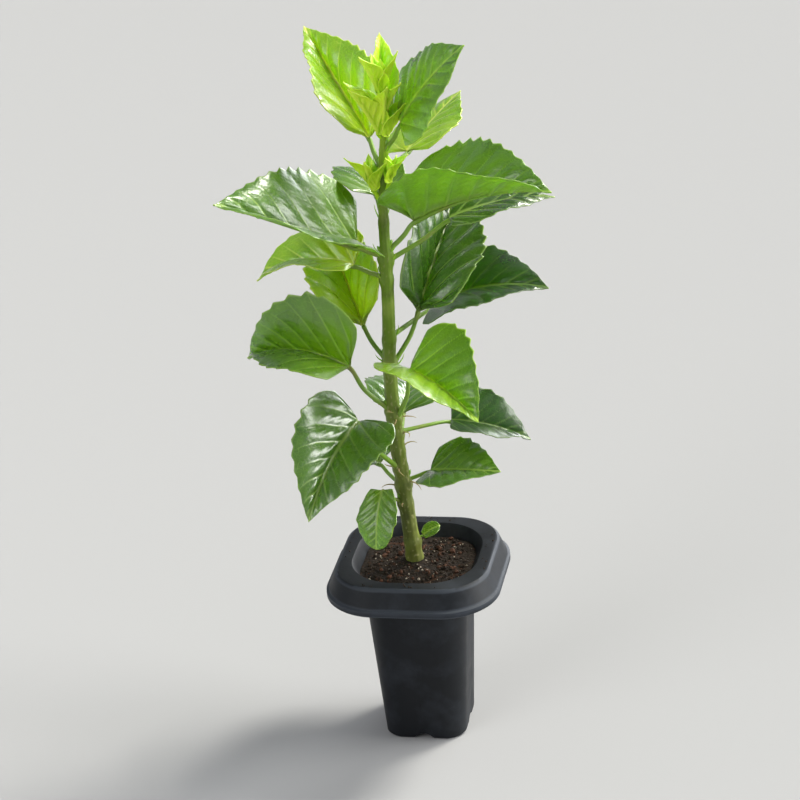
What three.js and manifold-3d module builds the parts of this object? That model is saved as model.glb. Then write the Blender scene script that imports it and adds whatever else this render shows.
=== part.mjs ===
// A young rooted hibiscus in the small square pot it was raised in.
// Millimetres, +Z up. The origin is the middle of the pot's flat underside and the front faces -Y.
import * as THREE from 'three';
import { mergeVertices } from 'three/addons/utils/BufferGeometryUtils.js';
import Module from 'manifold-3d';

const wasm = await Module();
wasm.setup();

// One thin formed sheet: a deep tapering cell that flares at its mouth, a flat deck and a rim.
const pot = {
  height: 80,
  wall: 1,
  baseWidth: 34,
  baseCorner: 8,
  neckWidth: 42.5,
  neckCorner: 13,
  neckHeight: 66,
  flareWidth: 46,
  flareCorner: 16,
  flareHeight: 73,
  mouthWidth: 51,
  mouthCorner: 20,
  mouthHeight: 78.6,
  deckWidth: 63.5,
  deckCorner: 20,
  rimWidth: 72,
  rimCorner: 23,
  rimDrop: 11,
  bandHeight: 3,
  bandBulge: 0.8,
  drainWidth: 8.6,
  drainHeight: 2.8,
  drainReach: 6,
};

// The mix lies level round the stem, heaped in small lumps and a little lower along the wall.
const soil = { level: 76.7, gap: 0.4, edgeDrop: 1.2, footRadius: 6, lumps: 0.35 };

// The stem stands a little off the middle of its cell.
const plantOffset = { x: -1.4, y: 0.6 };

// The stem's middle line, from its flat cut on the soil to the growing tip.
const stem = {
  foot: 77,
  height: 196,
  footRadius: 3.8,
  lowRadius: 3.2,
  midRadius: 2.4,
  midShare: 0.8,
  topRadius: 1.2,
  flareHeight: 4,
  nodeSwell: 0.3,
  cushion: 0.6,
  cushionHeight: 2.4,
  seat: 0.35,
  path: [
    [0, 0, 0],
    [-2, -0.4, 30],
    [-3.8, -0.9, 75],
    [-2, -0.4, 118],
    [-1, -0.2, 154],
    [2.3, 0.5, 196],
  ],
};

// The outline of every blade: widest low down, round at its base, drawn out to a point, toothed.
const blade = {
  rowsLong: 14,
  rowsShort: 10,
  shortLeaf: 42,
  columns: 4,
  baseRound: 0.5,
  tipDraw: 1.15,
  lobeSweep: 0.13,
  toothFrom: 0.2,
  toothOut: 0.06,
  curl: 12,
  thinnest: 0.8,
  keel: 0.6,
  stalkRadius: 1.0,
};

// Each leaf as it grows. z is the height on the stem where its stalk leaves, side the way it
// leaves, 0 to the right and 90 to the back, then the stalk's length and rise. turn is the way
// the blade points, tilt its climb at the stalk and bend its droop by the tip. roll lifts its
// left half, fold closes the two halves towards each other, and blunt rounds off its tip.
// Degrees and millimetres.
const leaves = {
  leaf_top_left: {
    z: 248, side: 134, stalk: 14, rise: 53,
    turn: 129, tilt: 33, bend: 0, roll: -12, fold: 48, long: 60, wide: 40,
  },
  leaf_top_right: {
    z: 256, side: 350, stalk: 14, rise: 56,
    turn: 342, tilt: 58, bend: 20, roll: 44, fold: 0, long: 45, wide: 38,
  },
  leaf_top_back: {
    z: 244, side: 79, stalk: 26, rise: 5,
    turn: 64, tilt: 24, bend: 10, roll: -16, fold: 0, long: 40, wide: 34,
  },
  leaf_upper_right: {
    z: 214, side: 22, stalk: 17, rise: 43,
    turn: 342, tilt: 31, bend: 28, roll: 0, fold: 43, long: 64, wide: 57,
  },
  leaf_upper_left: {
    z: 212, side: 193, stalk: 12, rise: 25,
    turn: 220, tilt: 30, bend: 2, roll: -20, fold: 27, long: 67, wide: 57,
  },
  leaf_left_under: {
    z: 203, side: 184, stalk: 14, rise: 24,
    turn: 174, tilt: 14, bend: 52, roll: -12, fold: 26, long: 44, wide: 36,
  },
  leaf_mid_left: {
    z: 167, side: 156, stalk: 18, rise: 49,
    turn: 118, tilt: 32, bend: 8, roll: -20, fold: 54, long: 58, wide: 46,
  },
  leaf_left_broad: {
    z: 146, side: 213, stalk: 28, rise: 53,
    turn: 162, tilt: 21, bend: 50, roll: -42, fold: 53, long: 50, wide: 54,
  },
  leaf_front_left: {
    z: 120, side: 236, stalk: 35, rise: 54,
    turn: 252, tilt: -6, bend: 45, roll: -25, fold: 30, long: 51, wide: 43,
  },
  leaf_front_right: {
    z: 142, side: 335, stalk: 25, rise: 67,
    turn: 316, tilt: 4, bend: 26, roll: 12, fold: 39, long: 46, wide: 48,
  },
  leaf_mid_right: {
    z: 165, side: 44, stalk: 25, rise: 51,
    turn: 80, tilt: 40, bend: 30, roll: 29, fold: 56, long: 65, wide: 53,
  },
  leaf_right_behind: {
    z: 177, side: 66, stalk: 32, rise: 2,
    turn: 354, tilt: 34, bend: 44, roll: 16, fold: 16, long: 51, wide: 46,
  },
  leaf_under_right: {
    z: 210, side: 22, stalk: 30, rise: 28,
    turn: 19, tilt: 20, bend: 31, roll: 7, fold: 6, long: 43, wide: 26,
  },
  leaf_low_right: {
    z: 113, side: 23, stalk: 12, rise: 13,
    turn: 342, tilt: 12, bend: 6, roll: 13, fold: 14, long: 33, wide: 33,
  },
  leaf_low_right_behind: {
    z: 135, side: 36, stalk: 25, rise: -3,
    turn: 9, tilt: -5, bend: 27, roll: 21, fold: 30, long: 34, wide: 30,
  },
  leaf_low_left_small: {
    z: 104, side: 226, stalk: 14, rise: 38,
    turn: 262, tilt: -38, bend: 45, roll: 12, fold: 3, long: 25, wide: 18, blunt: 0.55,
  },
  leaf_foot_tiny: {
    z: 86, side: 20, stalk: 5, rise: 10,
    turn: 20, tilt: 40, bend: 30, roll: 25, fold: 10, long: 8, wide: 7, blunt: 0.5,
  },
  leaf_back_upper: {
    z: 227, side: 112, stalk: 14, rise: 26,
    turn: 114, tilt: 12, bend: 42, roll: 0, fold: 20, long: 44, wide: 30,
  },
  leaf_back_low: {
    z: 128, side: 88, stalk: 17, rise: 35,
    turn: 97, tilt: 8, bend: 40, roll: 5, fold: 20, long: 46, wide: 36,
  },
  leaf_back_left_low: {
    z: 111, side: 150, stalk: 14, rise: 30,
    turn: 155, tilt: 5, bend: 40, roll: 0, fold: 15, long: 38, wide: 30,
  },
};

// Short shoots of small folded leaves: one at the growing tip and one at each of two upper nodes.
// Each new leaf stands a fixed turn round from the last, smaller and a little steeper.
const shoots = {
  shoot_tip: { z: 273, side: 100, rise: 90, twig: 9, leaves: 5, first: 25, onTip: true },
  shoot_left: { z: 236, side: 195, rise: 66, twig: 8, leaves: 4, first: 15 },
  shoot_right: { z: 240, side: 345, rise: 60, twig: 6, leaves: 3, first: 11 },
};
const shootRule = {
  turn: 137.5,
  tilt: 64,
  steeper: 4,
  smaller: 0.78,
  slim: 0.46,
  fold: 44,
  bend: 8,
  rows: 5,
  columns: 2,
  radius: 1.1,
};

const looks = {
  pot: { color: 0x14171c, roughness: 0.42 },
  soil: { color: 0x2b1f17, roughness: 0.95 },
  stem: { color: 0x6f8f2e, roughness: 0.5 },
  young: { color: 0x9ec23a, roughness: 0.4 },
  grown: { color: 0x3f7a25, roughness: 0.32 },
};

const rad = THREE.MathUtils.degToRad;
const heading = (degrees) => new THREE.Vector3(Math.cos(rad(degrees)), Math.sin(rad(degrees)), 0);
const bell = (x) => Math.exp(-x * x);

function closed(geometry) {
  geometry.deleteAttribute('normal');
  geometry.deleteAttribute('uv');
  return mergeVertices(geometry, 1e-4);
}

function toSolid(geometry) {
  const shape = closed(geometry);
  return new wasm.Manifold(new wasm.Mesh({
    numProp: 3,
    vertProperties: new Float32Array(shape.attributes.position.array),
    triVerts: new Uint32Array(shape.index.array),
  }));
}

// Slivers that a cut or join leaves along its seam are cleared away.
const seam = 0.03;
function toGeometry(solid) {
  const mesh = solid.simplify(seam).getMesh();
  const geometry = new THREE.BufferGeometry();
  const spots = new Float32Array(mesh.vertProperties);
  geometry.setAttribute('position', new THREE.BufferAttribute(spots, 3));
  geometry.setIndex(new THREE.BufferAttribute(new Uint32Array(mesh.triVerts), 1));
  return geometry;
}

function reshape(geometry, place) {
  const spots = geometry.attributes.position;
  const point = new THREE.Vector3();
  for (let i = 0; i < spots.count; i += 1) {
    place(point.fromBufferAttribute(spots, i), i);
    spots.setXYZ(i, point.x, point.y, point.z);
  }
  return geometry;
}

function mesh(name, geometry, look) {
  const material = new THREE.MeshStandardMaterial({ ...looks[look], metalness: 0 });
  const item = new THREE.Mesh(geometry, material);
  item.name = name;
  return item;
}

// A point of a square with rounded corners: step 0 is the middle of a side, 8 steps a quarter turn.
const quarter = 8;
function squarePoint(step, half, corner) {
  const turn = Math.floor(step / quarter) * Math.PI / 2;
  const part = step % quarter;
  const flat = half - corner;
  let x = half;
  let y = 0;
  if (part > 0) {
    const bend = ((part - 1) / (quarter - 2)) * Math.PI / 2;
    x = flat + corner * Math.cos(bend);
    y = flat + corner * Math.sin(bend);
  }
  return new THREE.Vector2(x, y).rotateAround(new THREE.Vector2(), turn);
}

// Turns a profile of [half width, height, corner radius] into a body that is square in plan.
function squareBody(profile) {
  const around = quarter * 4;
  const outline = profile.map(([half, height]) => new THREE.Vector2(half, height));
  const geometry = new THREE.LatheGeometry(outline, around);
  return reshape(geometry, (point, i) => {
    const [half, height, corner] = profile[i % profile.length];
    const step = Math.floor(i / profile.length) % around;
    const spot = squarePoint(step, half, Math.min(corner, half));
    point.set(spot.x, spot.y, height);
  });
}

// The inside of the cell from its floor to the edge of the deck: [half width, height, corner].
function cellShape() {
  const { wall, height, mouthHeight } = pot;
  const floorHalf = pot.baseWidth / 2 - wall;
  return [
    [floorHalf - 1, wall, pot.baseCorner - wall - 1],
    [floorHalf, wall + 1, pot.baseCorner - wall],
    [pot.neckWidth / 2 - wall, pot.neckHeight, pot.neckCorner - wall],
    [pot.flareWidth / 2 - wall, pot.flareHeight, pot.flareCorner - wall],
    [pot.mouthWidth / 2 - 0.3, mouthHeight, pot.mouthCorner - 0.3],
    [pot.mouthWidth / 2 + 0.6, height, pot.mouthCorner],
  ];
}

function buildPot() {
  const { height, wall, rimDrop, bandHeight, bandBulge } = pot;
  const deck = pot.deckWidth / 2;
  const rim = pot.rimWidth / 2;
  const rimFoot = height - rimDrop;
  const bandTop = rimFoot + bandHeight;
  const rimIn = pot.rimCorner - wall;
  const profile = [
    [0, 0, 0],
    [pot.baseWidth / 2 - 1, 0, pot.baseCorner - 1],
    [pot.baseWidth / 2, 1, pot.baseCorner],
    [pot.neckWidth / 2, pot.neckHeight, pot.neckCorner],
    [pot.flareWidth / 2 + 0.2, pot.flareHeight - 0.4, pot.flareCorner],
    [pot.mouthWidth / 2 + 0.8, pot.mouthHeight - 0.6, pot.mouthCorner],
    [pot.mouthWidth / 2 + 1.4, height - wall, pot.mouthCorner],
    [deck - wall, height - wall, pot.deckCorner - wall],
    [rim - bandBulge - wall, bandTop, rimIn],
    [rim - wall, bandTop - 0.8, rimIn],
    [rim - wall, rimFoot, rimIn],
    [rim - 0.3, rimFoot, pot.rimCorner],
    [rim, rimFoot + 0.4, pot.rimCorner],
    [rim, bandTop - 0.4, pot.rimCorner],
    [rim - bandBulge, bandTop, pot.rimCorner],
    [deck + 0.4, height - 0.8, pot.deckCorner],
    [deck - 0.4, height, pot.deckCorner],
    ...cellShape().reverse(),
    [0, wall, 0],
  ];
  let body = toSolid(squareBody(profile));
  const radius = (pot.drainWidth ** 2 / 4 + pot.drainHeight ** 2) / 2 / pot.drainHeight;
  const long = pot.drainReach + 4;
  for (let side = 0; side < 4; side += 1) {
    const drain = new THREE.CylinderGeometry(radius, radius, long, 20);
    drain.translate(0, pot.baseWidth / 2 - pot.drainReach + long / 2, pot.drainHeight - radius);
    drain.rotateZ(side * Math.PI / 2);
    body = body.subtract(toSolid(drain));
  }
  return mesh('pot', toGeometry(body), 'pot');
}

// The mix fills the cell, its top below the deck and flat under the stem's cut.
function buildSoil() {
  const { level, gap, footRadius, lumps, edgeDrop } = soil;
  const shore = level - edgeDrop;
  const cell = cellShape();
  const wet = cell.filter(([, height]) => height < shore);
  const last = wet[wet.length - 1];
  const next = cell[wet.length];
  const share = (shore - last[1]) / (next[1] - last[1]);
  const edge = THREE.MathUtils.lerp(last[0], next[0], share);
  const edgeCorner = THREE.MathUtils.lerp(last[2], next[2], share);
  wet.push([edge, shore, edgeCorner]);
  const lift = (height) => (height < pot.wall + 2 ? gap : 0);
  const ring = (part) => [edge * part, level - edgeDrop * part ** 3, edgeCorner * part];
  const profile = [
    [0, pot.wall + gap, 0],
    ...wet.map(([half, height, corner]) => [half - gap, height + lift(height), corner - gap]),
    ring(0.85),
    ring(0.68),
    ring(0.5),
    [footRadius + 2, level, footRadius + 2],
    [footRadius, level, footRadius],
    [0, level, 0],
  ];
  const body = reshape(squareBody(profile), (point) => {
    const reach = Math.hypot(point.x, point.y);
    if (point.z > shore + 0.01 && reach > footRadius + 1) {
      const fine = Math.sin(point.x * 0.9 + 1) * Math.cos(point.y * 0.8);
      const broad = Math.sin(point.x * 0.37 - point.y * 0.61);
      point.z += lumps * (fine + broad - 1);
    }
  });
  return mesh('soil', closed(body), 'soil');
}

const stemLine = new THREE.CatmullRomCurve3(stem.path.map((spot) => new THREE.Vector3(...spot)));

// The middle of the stem at a height, found by halving because the line climbs all the way.
function stemMiddle(height) {
  const climb = THREE.MathUtils.clamp(height - stem.foot, 0, stem.height);
  let low = 0;
  let high = 1;
  for (let i = 0; i < 24; i += 1) {
    const half = (low + high) / 2;
    if (stemLine.getPoint(half).z < climb) {
      low = half;
    } else {
      high = half;
    }
  }
  const spot = stemLine.getPoint(low);
  return new THREE.Vector3(spot.x, spot.y, height);
}

function stemRadius(height) {
  const share = (height - stem.foot) / stem.height;
  const fade = Math.exp(-(height - stem.foot) / stem.flareHeight);
  const flare = (stem.footRadius - stem.lowRadius) * fade;
  if (share < stem.midShare) {
    return THREE.MathUtils.lerp(stem.lowRadius, stem.midRadius, share / stem.midShare) + flare;
  }
  const upper = (share - stem.midShare) / (1 - stem.midShare);
  return THREE.MathUtils.lerp(stem.midRadius, stem.topRadius, upper);
}

function buildStem() {
  const geometry = new THREE.CylinderGeometry(1, 1, 1, 10, 49);
  geometry.rotateX(Math.PI / 2);
  reshape(geometry, (point) => {
    const height = stem.foot + (point.z + 0.5) * stem.height;
    const middle = stemMiddle(height);
    let radius = stemRadius(height);
    for (const leaf of Object.values(leaves)) {
      const near = bell((height - leaf.z + 1) / stem.cushionHeight);
      const facing = Math.max(0, Math.cos(Math.atan2(point.y, point.x) - rad(leaf.side))) ** 3;
      radius += near * (stem.nodeSwell + stem.cushion * facing) * Math.min(1, radius / 2);
    }
    point.set(middle.x + point.x * radius, middle.y + point.y * radius, height);
  });
  return mesh('stem', closed(geometry), 'stem');
}

// Where along the blade a row lies, closer together at the round base.
const rowShare = (row, rows) => (row / rows) ** 1.3;

function halfWidth(leaf, share) {
  const draw = leaf.blunt || blade.tipDraw;
  const peak = blade.baseRound / (blade.baseRound + draw);
  const swell = (share / peak) ** blade.baseRound * ((1 - share) / (1 - peak)) ** draw;
  const narrowest = THREE.MathUtils.lerp(blade.stalkRadius * 1.1, 0.4, share);
  return Math.max(narrowest, leaf.wide / 2 * swell);
}

// The midrib is an arc that leaves the stalk at the leaf's tilt and droops by its bend.
function bladeFrame(leaf, share) {
  const start = rad(leaf.tilt);
  const droop = rad(leaf.bend) || 1e-4;
  const slope = start - droop * share;
  const head = heading(leaf.turn);
  const level = new THREE.Vector3(-head.y, head.x, 0);
  const point = leaf.base.clone();
  point.addScaledVector(head, leaf.long * (Math.sin(start) - Math.sin(slope)) / droop);
  point.z += leaf.long * (Math.cos(slope) - Math.cos(start)) / droop;
  const along = head.clone().multiplyScalar(Math.cos(slope)).setZ(Math.sin(slope));
  const above = along.clone().cross(level);
  const roll = rad(leaf.roll);
  const across = level.clone().multiplyScalar(Math.cos(roll));
  across.addScaledVector(above, Math.sin(roll));
  const up = above.multiplyScalar(Math.cos(roll)).addScaledVector(level, -Math.sin(roll));
  return { point, along, across, up };
}

// A point of the blade: share runs from stalk to tip, width from -1 to 1, lift is off its face.
function bladePoint(leaf, share, width, lift, tooth) {
  const { point, along, across, up } = bladeFrame(leaf, share);
  const reach = Math.abs(width);
  const half = halfWidth(leaf, share);
  const open = Math.min(1, half / 4);
  const angle = rad(leaf.fold + blade.curl * (1 - reach)) * (reach > 0 ? open : 0);
  const way = Math.sign(width);
  const out = across.clone().multiplyScalar(way * Math.cos(angle));
  out.addScaledVector(up, Math.sin(angle));
  const face = up.clone().multiplyScalar(Math.cos(angle));
  face.addScaledVector(across, -way * Math.sin(angle));
  const lobe = (leaf.lobe ?? blade.lobeSweep) * leaf.long;
  const sweep = lobe * (1 - share) ** 4 * Math.min(1, share * 12);
  point.addScaledVector(out, reach * half * tooth);
  point.addScaledVector(along, -reach * sweep);
  return point.addScaledVector(face, lift);
}

function bladeSolid(leaf, rows, columns) {
  const thick = Math.max(blade.thinnest, leaf.long / 90);
  const geometry = new THREE.BoxGeometry(2, 1, 1, columns, rows, 1);
  reshape(geometry, (point) => {
    const row = Math.round((point.y + 0.5) * rows);
    const share = rowShare(row, rows);
    const rim = Math.abs(point.x) > 0.99 && share > blade.toothFrom && row < rows;
    const tooth = rim ? 1 + blade.toothOut * (row % 2 ? 1 : -1) : 1;
    const keel = point.z < 0 && Math.abs(point.x) < 0.01 ? blade.keel * (1 - share) : 0;
    point.copy(bladePoint(leaf, share, -point.x, point.z * thick - keel, tooth));
  });
  return toSolid(geometry);
}

// A round bar that follows a curve, with its radius given along it.
function bar(curve, sides, rows, radiusAt) {
  const frames = curve.computeFrenetFrames(rows, false);
  const geometry = new THREE.CylinderGeometry(1, 1, 1, sides, rows);
  reshape(geometry, (point) => {
    const row = Math.round((point.y + 0.5) * rows);
    const radius = radiusAt(row / rows);
    const spot = curve.getPointAt(row / rows);
    spot.addScaledVector(frames.binormals[row], point.x * radius);
    spot.addScaledVector(frames.normals[row], point.z * radius);
    point.copy(spot);
  });
  return toSolid(geometry);
}

// The way that points out at a side and climbs by a rise.
function climbing(side, rise) {
  return heading(side).multiplyScalar(Math.cos(rad(rise))).setZ(Math.sin(rad(rise)));
}

// The stalk leaves the stem outwards, starting at a reach from its middle, and turns up into
// the blade.
function stalkCurve(leaf, reach) {
  const out = heading(leaf.side);
  const start = stemMiddle(leaf.z).addScaledVector(out, reach);
  const inside = bladeFrame(leaf, 0.1).point;
  const knee = start.clone().lerp(leaf.base, 0.5).addScaledVector(out, leaf.stalk * 0.08);
  return new THREE.CatmullRomCurve3([start, knee, leaf.base, inside]);
}

const stemMesh = buildStem();
const stemSolid = toSolid(stemMesh.geometry.clone());

// Brings what grows at a reach from the stem's middle in until it lies just clear of the stem.
function seated(growAt) {
  const farthest = 8;
  let reach = 6;
  for (let i = 0; i < 4; i += 1) {
    reach -= stemSolid.minGap(growAt(reach), farthest) - stem.seat;
  }
  return growAt(reach);
}

function buildLeaf(name, sizes) {
  const base = stemMiddle(sizes.z);
  base.addScaledVector(climbing(sizes.side, sizes.rise), sizes.stalk);
  const leaf = { ...sizes, base };
  const thin = Math.min(1, 0.45 + leaf.long / 90);
  const radiusAt = (share) => blade.stalkRadius * thin * (1.05 - 0.3 * share);
  const stalk = seated((reach) => bar(stalkCurve(leaf, reach), 6, 6, radiusAt));
  const rows = leaf.long < blade.shortLeaf ? blade.rowsShort : blade.rowsLong;
  const solid = bladeSolid(leaf, rows, blade.columns).add(stalk);
  return mesh(name, toGeometry(solid), leaf.z > 200 ? 'young' : 'grown');
}

// A short twig with its leaves sunk into it, starting at a reach from the stem's middle.
function shootSolid(sizes, reach) {
  const start = stemMiddle(sizes.z).addScaledVector(heading(sizes.side), reach);
  const end = start.clone().addScaledVector(climbing(sizes.side, sizes.rise), sizes.twig);
  const line = new THREE.LineCurve3(start, end);
  let solid = bar(line, 6, 2, (share) => shootRule.radius * (1 - 0.4 * share));
  for (let i = 0; i < sizes.leaves; i += 1) {
    const long = sizes.first * shootRule.smaller ** i;
    const leaf = {
      base: line.getPoint((i + 1) / (sizes.leaves + 0.5)),
      turn: sizes.side + shootRule.turn * i,
      tilt: shootRule.tilt + shootRule.steeper * i,
      bend: shootRule.bend,
      roll: 0,
      fold: shootRule.fold,
      lobe: 0,
      long,
      wide: long * shootRule.slim,
    };
    solid = solid.add(bladeSolid(leaf, shootRule.rows, shootRule.columns));
  }
  return solid;
}

// The tip shoot stands on the stem's end and the others beside it. Spaces shut in between the
// leaves are filled.
function buildShoot(name, sizes) {
  let solid;
  if (sizes.onTip) {
    solid = shootSolid(sizes, 0).translate(0, 0, stem.seat);
  } else {
    solid = seated((reach) => shootSolid(sizes, reach));
  }
  const shells = solid.decompose().sort((a, b) => b.volume() - a.volume());
  return mesh(name, toGeometry(shells[0]), 'young');
}

const plant = new THREE.Group();
plant.name = 'plant';
plant.position.set(plantOffset.x, plantOffset.y, 0);
plant.add(stemMesh);
for (const [name, sizes] of Object.entries(leaves)) {
  plant.add(buildLeaf(name, sizes));
}
for (const [name, sizes] of Object.entries(shoots)) {
  plant.add(buildShoot(name, sizes));
}

const part = new THREE.Group();
part.name = 'potted_hibiscus';
part.add(buildPot(), buildSoil(), plant);

export default part;
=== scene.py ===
from math import cos, exp, hypot, pi, radians, sin

import bmesh
import bpy
import numpy as np
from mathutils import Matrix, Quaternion, Vector, noise


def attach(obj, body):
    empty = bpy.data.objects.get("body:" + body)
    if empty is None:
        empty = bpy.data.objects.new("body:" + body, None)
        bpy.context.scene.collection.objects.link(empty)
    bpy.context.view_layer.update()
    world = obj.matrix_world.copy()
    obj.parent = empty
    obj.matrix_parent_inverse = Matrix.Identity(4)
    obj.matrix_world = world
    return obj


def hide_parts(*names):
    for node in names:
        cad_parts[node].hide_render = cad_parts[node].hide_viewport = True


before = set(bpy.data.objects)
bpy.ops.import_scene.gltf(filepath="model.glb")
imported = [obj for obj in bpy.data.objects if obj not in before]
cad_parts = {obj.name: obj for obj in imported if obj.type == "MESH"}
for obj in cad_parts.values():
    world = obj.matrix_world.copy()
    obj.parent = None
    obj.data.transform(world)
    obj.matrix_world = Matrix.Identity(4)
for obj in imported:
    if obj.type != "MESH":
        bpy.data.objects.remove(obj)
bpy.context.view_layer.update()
mm = 0.001
plantSpot = (-1.4, 0.6)  # where the stem stands in the pot
print("frame loaded:", len(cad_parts), "nodes")


def deselect():
    if bpy.context.object and bpy.context.object.mode != "OBJECT":
        bpy.ops.object.mode_set(mode="OBJECT")
    bpy.ops.object.select_all(action="DESELECT")


def pick(piece):
    deselect()
    piece.select_set(True)
    bpy.context.view_layer.objects.active = piece


# Runs an operator that adds an object, and names the object.
def addPiece(name, operator, **settings):
    deselect()
    operator(**settings)
    piece = bpy.context.object
    piece.name = name
    return piece


def getSpots(piece):
    spots = np.empty(len(piece.data.vertices) * 3, np.float32)
    piece.data.vertices.foreach_get("co", spots)
    return spots.reshape(-1, 3).astype(float)


def setSpots(piece, spots):
    piece.data.vertices.foreach_set("co", np.asarray(spots, np.float32).ravel())
    piece.data.update()


def held(values):
    return np.clip(values, 0, 1)


def setValues(piece, name, values):
    layer = piece.data.attributes.new(name, "FLOAT", "POINT")
    layer.data.foreach_set("value", np.asarray(values, np.float32))


def useModifier(piece, kind, **settings):
    pick(piece)
    modifier = piece.modifiers.new(kind.lower(), kind)
    for key, value in settings.items():
        setattr(modifier, key, value)
    bpy.ops.object.modifier_apply(modifier=modifier.name)


def editAll(piece):
    pick(piece)
    bpy.ops.object.mode_set(mode="EDIT")
    bpy.ops.mesh.select_all(action="SELECT")


def faceOutwards(piece):
    editAll(piece)
    bpy.ops.mesh.normals_make_consistent(inside=False)
    bpy.ops.object.mode_set(mode="OBJECT")


def joinPieces(name, pieces):
    deselect()
    for piece in pieces:
        piece.select_set(True)
    bpy.context.view_layer.objects.active = pieces[0]
    bpy.ops.object.join()
    pieces[0].name = name
    pieces[0].data.name = name
    return pieces[0]


def finishPiece(piece, slotName, *nodes):
    pick(piece)
    bpy.ops.object.transform_apply(location=True, rotation=True, scale=True)
    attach(piece, "root")
    if nodes:
        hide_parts(*nodes)


def titled(name):
    first, *rest = name.split("_")
    return first + "".join(word.capitalize() for word in rest)


def newMaterial(name, settings):
    material = bpy.data.materials.new(name)
    material.use_nodes = True
    shader = material.node_tree.nodes["Principled BSDF"]
    for key, value in settings.items():
        shader.inputs[key].default_value = value
    return material, material.node_tree, shader


def isSocket(value):
    return hasattr(value, "is_output")


def addNode(tree, kind, inputs=None, **settings):
    node = tree.nodes.new(kind)
    for key, value in settings.items():
        setattr(node, key, value)
    for key, value in (inputs or {}).items():
        if isSocket(value):
            tree.links.new(value, node.inputs[key])
        else:
            node.inputs[key].default_value = value
    return node


# A colour is a socket or three numbers.
def mixColours(tree, share, first, second):
    first, second = (colour if isSocket(colour) else (*colour, 1) for colour in (first, second))
    return addNode(tree, "ShaderNodeMix", {0: share, 6: first, 7: second}, data_type="RGBA").outputs[2]


def ramp(tree, value, low, high, outLow=0.0, outHigh=1.0):
    node = addNode(tree, "ShaderNodeMapRange", {0: value, 1: low, 2: high, 3: outLow, 4: outHigh})
    return node.outputs[0]


# Lays one colour over another where a value climbs from low to high, at most by the share.
def layOver(tree, under, over, value, low, high, share=1.0):
    return mixColours(tree, ramp(tree, value, low, high, 0.0, share), under, over)


def calculate(tree, operation, *values):
    return addNode(tree, "ShaderNodeMath", dict(enumerate(values)), operation=operation).outputs[0]


def objectPlace(tree):
    return addNode(tree, "ShaderNodeTexCoord").outputs["Object"]


def noiseAt(tree, place, scale, detail=3.0, roughness=0.5):
    inputs = {"Vector": place, "Scale": scale, "Detail": detail, "Roughness": roughness}
    return addNode(tree, "ShaderNodeTexNoise", inputs).outputs[0]


def cellEdges(tree, place, scale):
    inputs = {"Vector": place, "Scale": scale}
    return addNode(tree, "ShaderNodeTexVoronoi", inputs, feature="DISTANCE_TO_EDGE").outputs["Distance"]


def readValue(tree, name):
    return addNode(tree, "ShaderNodeAttribute", attribute_name=name).outputs["Fac"]


# Gives the shader its colour, and a fine relief from a height.
def dress(tree, shader, colour, height, strength, distance):
    tree.links.new(colour, shader.inputs["Base Color"])
    inputs = {"Height": height, "Strength": strength, "Distance": distance}
    tree.links.new(addNode(tree, "ShaderNodeBump", inputs).outputs[0], shader.inputs["Normal"])


# Leaf colours by age and place, some with painted light or shade as noted. A tone may also change a
# value of leafSkin.
# Each under colour is the underside's: paler than the face, as real undersides are, and partly painted
# light that stands in for light shining through the blade.
leafTones = {
    # The young tone's vein is extra pale: a real pale midrib, and partly painted light that lifts the
    # shade in the fold along it.
    "young": dict(face=(0.24, 0.43, 0.012), shade=(0.14, 0.3, 0.008), vein=(0.72, 0.88, 0.16),
                  under=(0.24, 0.42, 0.012), base=(0.46, 0.64, 0.01), rough=0.28, glow=0.4),
    "fresh": dict(face=(0.068, 0.17, 0.008), shade=(0.036, 0.105, 0.006), vein=(0.3, 0.46, 0.07),
                  under=(0.14, 0.3, 0.008), base=(0.16, 0.31, 0.01), rough=0.27, glow=0.28),
    # The lit tone paints light: a pale base colour and a bright underside for a blade half lit through
    # by the sun.
    "lit": dict(face=(0.064, 0.16, 0.008), shade=(0.034, 0.1, 0.006), vein=(0.42, 0.62, 0.08),
                under=(0.2, 0.42, 0.008), base=(0.27, 0.48, 0.006), rough=0.32, glow=0.34, coat=0.25),
    "grown": dict(face=(0.056, 0.144, 0.009), shade=(0.03, 0.088, 0.006), vein=(0.29, 0.42, 0.1),
                  under=(0.12, 0.25, 0.014), rough=0.26, glow=0.22),
    # This darker green is partly painted shade, for leaves that stand in the shade of others.
    "deep": dict(face=(0.033, 0.09, 0.008), shade=(0.017, 0.052, 0.005), vein=(0.26, 0.38, 0.09),
                 under=(0.11, 0.23, 0.014), rough=0.25, glow=0.2),
    # The dark tone is painted shade, for leaves that stand in the shade of their neighbours.
    "dark": dict(face=(0.018, 0.053, 0.006), shade=(0.009, 0.03, 0.004), vein=(0.12, 0.2, 0.045),
                 under=(0.07, 0.15, 0.014), rough=0.3, glow=0.15, coat=0.25),
    # The shoot tone is partly painted light: a lime brightened past the bud's own colour, with a
    # near-white underside, to stand in for light glowing through the young leaves.
    "shoot": dict(face=(0.5, 0.83, 0.012), shade=(0.38, 0.68, 0.008), vein=(0.7, 0.88, 0.1),
                  under=(0.66, 0.96, 0.02), rough=0.36, glow=0.3, depth=0.0012, coat=0.2),
}
leafTones["shiny"] = dict(leafTones["grown"], rough=0.27, coat=1.0, coatRough=0.2)
leafSkin = dict(
    specular=0.55, coat=0.4, coatRough=0.12, depth=0.004, glowReach=(0.6, 1.0, 0.1),
    patchScale=90.0, netScale=560.0, cellScale=1150.0, cellHeight=0.35,
    baseShare=0.75, hollowShadeShare=0.3, netShare=0.09, veinShare=0.9, marginShare=0.5,
    backShade=0.75, backNet=0.16, backVein=0.65, backDull=0.24,
    bump=0.3, bumpDepth=0.00014,
)
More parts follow.
